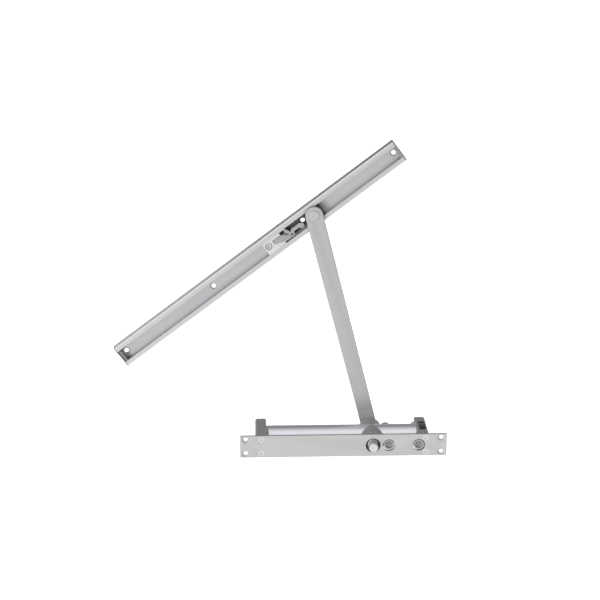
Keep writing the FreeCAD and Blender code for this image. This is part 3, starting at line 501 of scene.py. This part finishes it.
# %% Machining of the closer body
BORE_R, BORE_END = 11.5, 81.0
CAP_BORE_R, PLUG_BORE_R, SPINDLE_BORE_R = 10.8, 5.2, 9.2
combine(casting, add_barrel("bore", BODY_LEFT - 1, BORE_END, BORE_R, 96))
combine(casting, add_rod("cross_bore", SPINDLE_X, 0, BOSS_REAR - 2, BOSS_FRONT + 2,
                         SPINDLE_BORE_R, 96))
for z0, z1 in ((BOSS_FRONT - 4.0, BOSS_FRONT + 3), (BOSS_REAR - 3, BOSS_REAR + 4.0)):
    combine(casting, add_rod("cap_bore", SPINDLE_X, 0, z0, z1, CAP_BORE_R, 96))
for x in VALVES_X:
    combine(casting, add_rod("plug_seat", x, 0, -0.6, 3, VALVE_BOSS_R, 64))
    combine(casting, add_rod("plug_bore", x, 0, -13.0, 1, PLUG_BORE_R, 64))
    combine(casting, add_rod("rear_bore", x, 0, -61, -48.6, PLUG_BORE_R, 64))
pick(casting)
bpy.ops.object.shade_smooth_by_angle(angle=math.radians(35))
fit(casting, "closer_body", "cast_body", "closer_housing")
also_finish(casting, ground_cylinder, lambda at, normal: BODY_LEFT + 0.6 < at.x < BODY_RIGHT - 0.6
            and abs(math.hypot(at.y, at.z - AXIS_Z) - CYLINDER_R) < 0.16)
# The pockets of the end block get the darker finish, which is painted shade
also_finish(casting, painted_pocket_shade, lambda at, normal: POCKET_X[0] - 0.2 < at.x < POCKET_X[1] + 0.2
            and POCKET_Y[0] - 0.5 < abs(at.y) < BLOCK_HALF - 0.4
            and POCKETS_Z[1][0] - 0.3 < at.z < POCKETS_Z[0][1] + 0.3)
# The front edges of the bores and the gaps round the valve plugs get painted shade
also_finish(casting, painted_shade_in_gaps, lambda at, normal:
            at.z > -12 and math.hypot(at.x - SPINDLE_X, at.y) < CAP_BORE_R + 0.4
            or at.z > -0.9 and any(math.hypot(at.x - x, at.y) < VALVE_BOSS_R + 0.2 for x in VALVES_X))

# %% [markdown]
# The left end is closed by a bracket of its own. It is a block like the one on the right, without
# pockets, joined to a round collar against the cylinder and to a spigot that plugs the bore. The
# way of the spring's adjusting screw is cut through all three.

# %% Left bracket
BRACKET_END, BRACKET_INNER = -110.0, -96.2
SCREW_WAY_R, HEAD_WAY_R = 4.1, 6.1
bracket = bracket_block("left_bracket_dressed", BRACKET_END, BRACKET_INNER)
combine(bracket, add_barrel("collar", BRACKET_INNER - 1, BODY_LEFT, 14.1), "UNION")
combine(bracket, add_barrel("spigot", BODY_LEFT - 1, -85.5, BORE_R, 96), "UNION")
combine(bracket, add_barrel("screw_way", BRACKET_END - 1, -84, SCREW_WAY_R, 48))
combine(bracket, add_barrel("head_way", BRACKET_END - 1, -105.0, HEAD_WAY_R, 48))
for x, y in FACE_SCREWS[:2]:
    combine(bracket, add_rod("screw_way", x, y, -11, 1, 2.0, 32))
soften(bracket, 0.5, 3)
fit(bracket, "closer_body", "cast_body", "left_bracket")

# %% [markdown]
# The arm is a forged bar with a round hub and a round eye, and a crank beside the hub. It starts as
# the hub's disc: half of the disc is drawn out to the arm's length, and that end is scaled up to the
# eye. Cuts across it make stations, and each station is lowered a little, which bends the crank.

# %% Arm
ARM_LENGTH = arm_length / MM
HUB_TOP, HUB_BOTTOM = -58.0, -67.0
HUB_R, EYE_R = 9.95, 11.2
ARM_TOP, ARM_BOTTOM = -67.0, -72.5
RIVET_HOLE_R, SPINDLE_HOLE_R = 4.0, 5.9
arm = add_rod("arm_dressed", 0, 0, 0, 10, HUB_R, 96)
split_at(arm, (0, 0, 0), (1, 0, 0))
edit(arm, "FACE", lambda f: middle_of(f).x > 0.01, bpy.ops.mesh.extrude_region_move,
     TRANSFORM_OT_translate={"value": (ARM_LENGTH * MM, 0, 0)})
edit(arm, "VERT", lambda v: middle_of(v).x > ARM_LENGTH - 0.1, bpy.ops.transform.resize,
     value=(EYE_R / HUB_R, EYE_R / HUB_R, 1), center_override=(ARM_LENGTH * MM, 0, 0))
CRANK = (8.0, 22.5)
STATIONS = 14
for k in range(STATIONS + 1):
    split_at(arm, (CRANK[0] + (CRANK[1] - CRANK[0]) * k / STATIONS, 0, 0), (1, 0, 0))


def crank_level(along):
    t = min(max((along - CRANK[0]) / (CRANK[1] - CRANK[0]), 0.0), 1.0)
    ease = t * t * (3 - 2 * t)
    return HUB_TOP + (ARM_TOP - HUB_TOP) * ease, HUB_BOTTOM + (ARM_BOTTOM - HUB_BOTTOM) * ease


for vertex in arm.data.vertices:
    top, bottom = crank_level(vertex.co.x / MM)
    vertex.co.z = (top if vertex.co.z > 5 * MM else bottom) * MM
tidy_normals(arm)
combine(arm, add_rod("rivet_hole", ARM_LENGTH, 0, -75, -60, RIVET_HOLE_R, 48))
combine(arm, add_rod("spindle_hole", 0, 0, -70, -50, SPINDLE_HOLE_R, 48))
soften(arm, 0.7, 3, 40)
place_by(arm, arm_turn)
fit(arm, "arm_body", "arm_silver", "arm")

# %% [markdown]
# A shouldered rivet joins the arm to the slide. Its low head is turned with a soft edge, and the
# lathe leaves a small centre mark in it.

# %% Slide rivet
RIVET_TOP = ARM_TOP + 1.5
rivet = turned("slide_rivet_dressed", pivot.x / MM, pivot.y / MM,
               [(0, -83.4), (6.0, -83.4), (6.0, -81.7), (4.0, -81.7), (4.0, ARM_TOP), (6.9, ARM_TOP),
                (7.0, ARM_TOP + 0.3), (6.6, ARM_TOP + 0.85), (5.6, RIVET_TOP - 0.12), (4.9, RIVET_TOP),
                (1.0, RIVET_TOP), (0.55, RIVET_TOP - 0.25), (0, RIVET_TOP - 0.5)], 72)
soften(rivet, 0.12, 2, 40)
fit(rivet, "arm_body", "steel", "slide_rivet", finish=rivet_zinc)

# %% [markdown]
# The channel is an aluminium extrusion, so it is made the same way. Its section is drawn as a flat
# sheet, cut along the lines of the slot and the undercuts, the hollow faces are deleted, and what is
# left is pushed out along the channel's length.

# %% Guide channel
LIP_Z = -73.25
CHANNEL_DEEP, CHANNEL_HALF = 14.5, 14.8
SLOT_HALF, HOLLOW_HALF = 8.45, 12.8
FLOOR_Z = LIP_Z - CHANNEL_DEEP + 2.4
LIP_UNDER = LIP_Z - 2.0
RAIL_HALF = 219.3
SINK_STEP = 141.4
bpy.ops.object.select_all(action="DESELECT")
bpy.ops.mesh.primitive_plane_add(size=1, location=(-RAIL_HALF * MM, 0, (LIP_Z - CHANNEL_DEEP / 2) * MM),
                                 rotation=(0, math.pi / 2, 0))
bpy.context.object.scale = (CHANNEL_DEEP * MM, 2 * CHANNEL_HALF * MM, 1)
channel = named("guide_channel")
for v in (-HOLLOW_HALF, -SLOT_HALF, SLOT_HALF, HOLLOW_HALF):
    split_at(channel, (0, v, 0), (0, 1, 0))
for z in (FLOOR_Z, LIP_UNDER):
    split_at(channel, (0, 0, z), (0, 0, 1))


def in_hollow(face):
    v, z = abs(middle_of(face).y), middle_of(face).z
    return z > FLOOR_Z and (v < SLOT_HALF or (v < HOLLOW_HALF and z < LIP_UNDER))


edit(channel, "FACE", in_hollow, bpy.ops.mesh.delete, type="FACE")
edit(channel, "FACE", everything, bpy.ops.mesh.dissolve_limited, angle_limit=math.radians(1))
edit(channel, "FACE", everything, bpy.ops.mesh.extrude_region_move,
     TRANSFORM_OT_translate={"value": (2 * RAIL_HALF * MM, 0, 0)})
tidy_normals(channel)


def outer_corner(edge):
    return reaches(edge, 0, 100) and abs(middle_of(edge).y) > CHANNEL_HALF - 0.1


round_edges(channel, lambda e: outer_corner(e) and middle_of(e).z > LIP_Z - 0.1, 2.2, 6)
round_edges(channel, lambda e: outer_corner(e) and middle_of(e).z < LIP_Z - CHANNEL_DEEP + 0.1, 1.4, 4)
for k in range(4):
    combine(channel, countersink("sink", (k - 1.5) * SINK_STEP, 0, FLOOR_Z, 5.5, 9.2, 4))
soften(channel, 0.22, 2)
place_by(channel, channel_turn)
fit(channel, "rail_body", "rail_aluminium", "guide_rail")
channel_across = Vector((-channel_along.y, channel_along.x, 0))
# The rounded edges along the lips get a near-white colour, which is a painted highlight
also_finish(channel, painted_lip_highlight, lambda at, normal: at.z > LIP_Z - 2.3 and 0.2 < normal.z < 0.97
            and abs((at - channel_middle / MM).dot(channel_across)) > CHANNEL_HALF - 2.4)

# %% [markdown]
# A thin plastic cap closes each end of the channel, with a tongue that plugs its hollow. The cap is
# a cube with rounded corners; the second one is the first turned round.

# %% End caps
CAP_END = 220.5
TONGUE_HALF, TONGUE_LONG, TONGUE_PLAY = SLOT_HALF + 4.2, 3.4, 0.1
cap = add_block("end_cap_right", (RAIL_HALF, -CHANNEL_HALF, LIP_Z - CHANNEL_DEEP),
                (CAP_END, CHANNEL_HALF, LIP_Z))
round_edges(cap, lambda e: reaches(e, 0, 0.5), 1.8, 5)
tongue = add_block("tongue", (RAIL_HALF - TONGUE_LONG, -TONGUE_HALF, FLOOR_Z + TONGUE_PLAY),
                   (RAIL_HALF + 0.5, TONGUE_HALF, LIP_UNDER - TONGUE_PLAY))
combine(cap, tongue, "UNION")
soften(cap, 0.25, 2)
other_cap = copied(cap, "end_cap_left")
place_by(other_cap, channel_turn @ Matrix.Rotation(math.pi, 4, "Z"))
place_by(cap, channel_turn)
fit(cap, "rail_body", "cap_plastic", "rail_end_cap_right")
fit(other_cap, "rail_body", "cap_plastic", "rail_end_cap_left")

# %% [markdown]
# The two valves are screws seen end on: a flanged plug with a wide mouth, and in it the
# small needle that meters the oil. Both are turned; the needle then gets its hexagon socket.

# %% Valve plugs and needles
for kind, x in (("closing", VALVES_X[0]), ("latching", VALVES_X[1])):
    plug = turned(f"{kind}_plug_dressed", x, 0,
                  [(2.65, -13.0), (5.1, -13.0), (5.1, -0.6), (6.75, -0.6), (6.75, 2.1), (6.35, 2.5),
                   (4.85, 2.5), (4.5, 2.15), (4.5, -1.1), (2.65, -1.1), (2.65, -13.0)], 72)
    soften(plug, 0.12, 2, 40)
    fit(plug, "closer_body", "steel", f"{kind}_valve_plug", finish=pressing_and_recess_shade)
    needle = turned(f"{kind}_needle_dressed", x, 0,
                    [(0, -18.1), (0.8, -17.0), (0.8, -12.9), (2.4, -11.3), (2.4, 0.7), (2.1, 1.0),
                     (0, 1.0)], 48)
    combine(needle, add_rod("socket", x, 0, -1.0, 2, SOCKET_R, 6))
    soften(needle, 0.1, 2, 40)
    fit(needle, f"{kind}_needle_body", "steel", f"{kind}_needle", finish=pressing_and_recess_shade)

# %% [markdown]
# Two threaded caps close the pinion bore. Each is turned with a narrow collar round the shaft, and
# two blind holes take the pins of its spanner. The rear cap is the front one mirrored in depth.

# %% Bearing caps
PIN_CIRCLE_R, PIN_HOLE_R = 9.3, 0.7
bearing_cap = turned("bearing_cap_front_dressed", SPINDLE_X, 0,
                     [(8.25, -9.5), (10.75, -9.5), (10.75, -4.9), (10.4, -4.5), (8.3, -4.5), (8.3, -2.8),
                      (8.0, -2.5), (7.3, -2.5), (6.8, -3.2), (6.45, -3.6), (6.45, -6.8), (8.25, -6.8),
                      (8.25, -9.5)], 80)
for side in (-1, 1):
    combine(bearing_cap, add_rod("pin_hole", SPINDLE_X + side * PIN_CIRCLE_R, 0, -6.5, -3,
                                 PIN_HOLE_R, 24))
soften(bearing_cap, 0.12, 2, 40)
rear_cap = copied(bearing_cap, "bearing_cap_rear_dressed")
place_by(rear_cap, Matrix.Translation((0, 0, 2 * AXIS_Z * MM)) @ Matrix.Diagonal((1, 1, -1, 1)))
rear_cap.data.flip_normals()
fit(bearing_cap, "closer_body", "steel", "bearing_cap_front", finish=grey_iron)
fit(rear_cap, "closer_body", "steel", "bearing_cap_rear", finish=grey_iron)

# %% [markdown]
# The remaining visible parts have the right shapes in the model, and only their edges are too
# sharp: nothing that is milled, moulded or pressed has a perfect edge. A copy of each is merged,
# its flat facets are joined, and its edges are rounded by a width that suits how it was made.

# %% Softened copies
bodies = frame["record"]["behaviour"]["bodies"]
body_of_node = {name: body for body, parts in bodies.items() for name in parts}
# Each node, the width of its rounded edges, and its finish where that isn't its slot's
SOFTENED = (
    ("pinion", 0.2, bright_spindle), ("slide_block", 0.4, None), ("hold_open_block", 0.22, None),
    ("hold_open_screw", 0.2, None), ("hold_open_catch", 0.25, pressing_and_recess_shade),
    # The latch's base tray is dark grey, painted shade for the channel floor under the latch
    ("hold_open_base", 0.2, dark_tray_painted_shade), ("arm_screw", 0.25, None),
    ("arm_washer", 0.2, None), ("rear_valve_plugs", 0.2, None), ("spring_adjuster", 0.2, None),
)


def softened_copy(node, width, finish):
    piece = frame["nodes"][node].copy()
    piece.data = frame["nodes"][node].data.copy()
    piece.name = f"{node}_dressed"
    piece.parent = None
    bpy.context.scene.collection.objects.link(piece)
    edit(piece, "VERT", everything, bpy.ops.mesh.remove_doubles, threshold=0.002 * MM)
    edit(piece, "FACE", everything, bpy.ops.mesh.dissolve_limited, angle_limit=math.radians(1.5))
    soften(piece, width)
    fit(piece, body_of_node[node], slot_of_node[node], node, finish=finish)


for node, width, finish in SOFTENED:
    softened_copy(node, width, finish)
# The up-facing floors below the latch block's top face get a darker grey, which is painted shade in its recesses
BLOCK_FACE_Z = -73.8
also_finish(bpy.data.objects["hold_open_block_dressed"], pressing_and_recess_shade,
            lambda at, normal: normal.z > 0.9 and at.z < BLOCK_FACE_Z)

# %% [markdown]
# The set is a plain white table far below the object, whose rear edge lies just outside the
# picture. Light Path tells the rays apart: the lens, and rays that pass through something clear,
# see the table white, while metal mirrors it much darker, and the object's shadow stays on it.

# %% Floor
FLOOR_DROP = 1.5
FLOOR_WIDE = 6.0
FLOOR_BACK = 0.36
TABLE_SEEN, TABLE_MIRRORED = 0.75, 0.15


def seen_directly(tree):
    # The kinds of ray, and 1 for those that come from the lens or through something clear
    rays = add_node(tree, "ShaderNodeLightPath")
    seen = add_node(tree, "ShaderNodeMath", {"operation": "MAXIMUM"},
                    {0: rays.outputs["Is Camera Ray"], 1: rays.outputs["Is Transmission Ray"]})
    return rays, seen.outputs[0]


bpy.ops.object.select_all(action="DESELECT")
bpy.ops.mesh.primitive_plane_add(size=FLOOR_WIDE,
                                 location=(0, FLOOR_BACK - FLOOR_WIDE / 2, -FLOOR_DROP))
floor = bpy.context.object
floor.name = "floor"
floor_paint, tree, shader = new_material("white_table_paint")
shader.inputs["Base Color"].default_value = linear("#C8C8C8")
shader.inputs["Roughness"].default_value = 0.9
shader.inputs["Emission Color"].default_value = (1, 1, 1, 1)
rays, seen = seen_directly(tree)
mirrored = add_node(tree, "ShaderNodeMath", {"operation": "MULTIPLY"},
                    {0: rays.outputs["Is Glossy Ray"], 1: TABLE_MIRRORED})
glow = add_node(tree, "ShaderNodeMath", {"operation": "MULTIPLY_ADD"},
                {0: seen, 1: TABLE_SEEN, 2: mirrored.outputs[0]})
tree.links.new(glow.outputs[0], shader.inputs["Emission Strength"])
floor.data.materials.append(floor_paint)
print("table below the object by", FLOOR_DROP, "m")

# %% [markdown]
# The room is the light of a pale studio. It comes from the lens side, more from the left than from
# the right, and little of it from below. Metal mirrors something else, a large white paper over the
# object, which fades towards the table and is a little darker round the lens. Only the lens itself
# and rays through something clear see plain white.

# %% Room
# What each ramp follows, where along it the ramp starts and ends, and its level at both ends
RAMPS = {
    "height": ("Z", -0.2, 0.8, 0.12, 0.80),
    "side": ("X", -0.8, 0.8, 1.5, 0.6),
    "paper": ("Z", -0.75, 0.5, 0.18, 1.0),
    "round_lens": ("Z", 0.6, 0.95, 1.0, 0.68),
}
world = bpy.data.worlds.new("studio_room")
world.use_nodes = True
bpy.context.scene.world = world
tree = world.node_tree
room = tree.nodes["Background"]
heading = add_node(tree, "ShaderNodeSeparateXYZ",
                   inputs={0: add_node(tree, "ShaderNodeTexCoord").outputs["Generated"]})
ramps = {}
for name, (axis, start, end, first, last) in RAMPS.items():
    ramp = add_node(tree, "ShaderNodeMapRange", {"interpolation_type": "SMOOTHSTEP"},
                    {"Value": heading.outputs[axis], "From Min": start, "From Max": end,
                     "To Min": first, "To Max": last})
    ramps[name] = ramp.outputs["Result"]
level = add_node(tree, "ShaderNodeMath", {"operation": "MULTIPLY"},
                 {0: ramps["height"], 1: ramps["side"]})
paper = add_node(tree, "ShaderNodeMath", {"operation": "MULTIPLY"},
                 {0: ramps["paper"], 1: ramps["round_lens"]})
rays, seen = seen_directly(tree)
shine = add_node(tree, "ShaderNodeMix", {"data_type": "FLOAT"},
                 {"Factor": rays.outputs["Is Glossy Ray"], "A": level.outputs[0],
                  "B": paper.outputs[0]})
strength = add_node(tree, "ShaderNodeMix", {"data_type": "FLOAT"},
                    {"Factor": seen, "A": shine.outputs["Result"], "B": 1.0})
room.inputs["Color"].default_value = (1, 1, 1, 1)
tree.links.new(strength.outputs["Result"], room.inputs["Strength"])
print("room nodes:", len(tree.nodes))

# %% [markdown]
# One large soft key, so far away that it lights both ends alike, stands to the left and below the
# lens. It throws the soft shadow of the channel's lower lip on its floor, and leaves the faces that
# look up the picture grey. A sun lamp with a wide disc is such a key. It is polarised, as in many
# product pictures, so it leaves no glare: the metal mirrors only the room.

# %% Key light
KEY_FROM = Vector((-0.50, -0.20, 1.0))
KEY_STRENGTH = 1.75
KEY_WIDTH = math.radians(24)
key = bpy.data.lights.new("key_light", "SUN")
key.energy = KEY_STRENGTH
key.angle = KEY_WIDTH
key_object = bpy.data.objects.new("key_light", key)
bpy.context.scene.collection.objects.link(key_object)
key_object.visible_glossy = False
key_object.rotation_mode = "QUATERNION"
key_object.rotation_quaternion = KEY_FROM.to_track_quat("Z", "Y")
print("key light from", list(KEY_FROM), "at strength", KEY_STRENGTH)

# %% [markdown]
# The Standard view shows a colour as it was written, which suits a plain product picture. The view
# that Blender starts with would turn the white table grey.

# %% Standard view
bpy.context.scene.view_settings.view_transform = "Standard"
print("view:", bpy.context.scene.view_settings.view_transform)
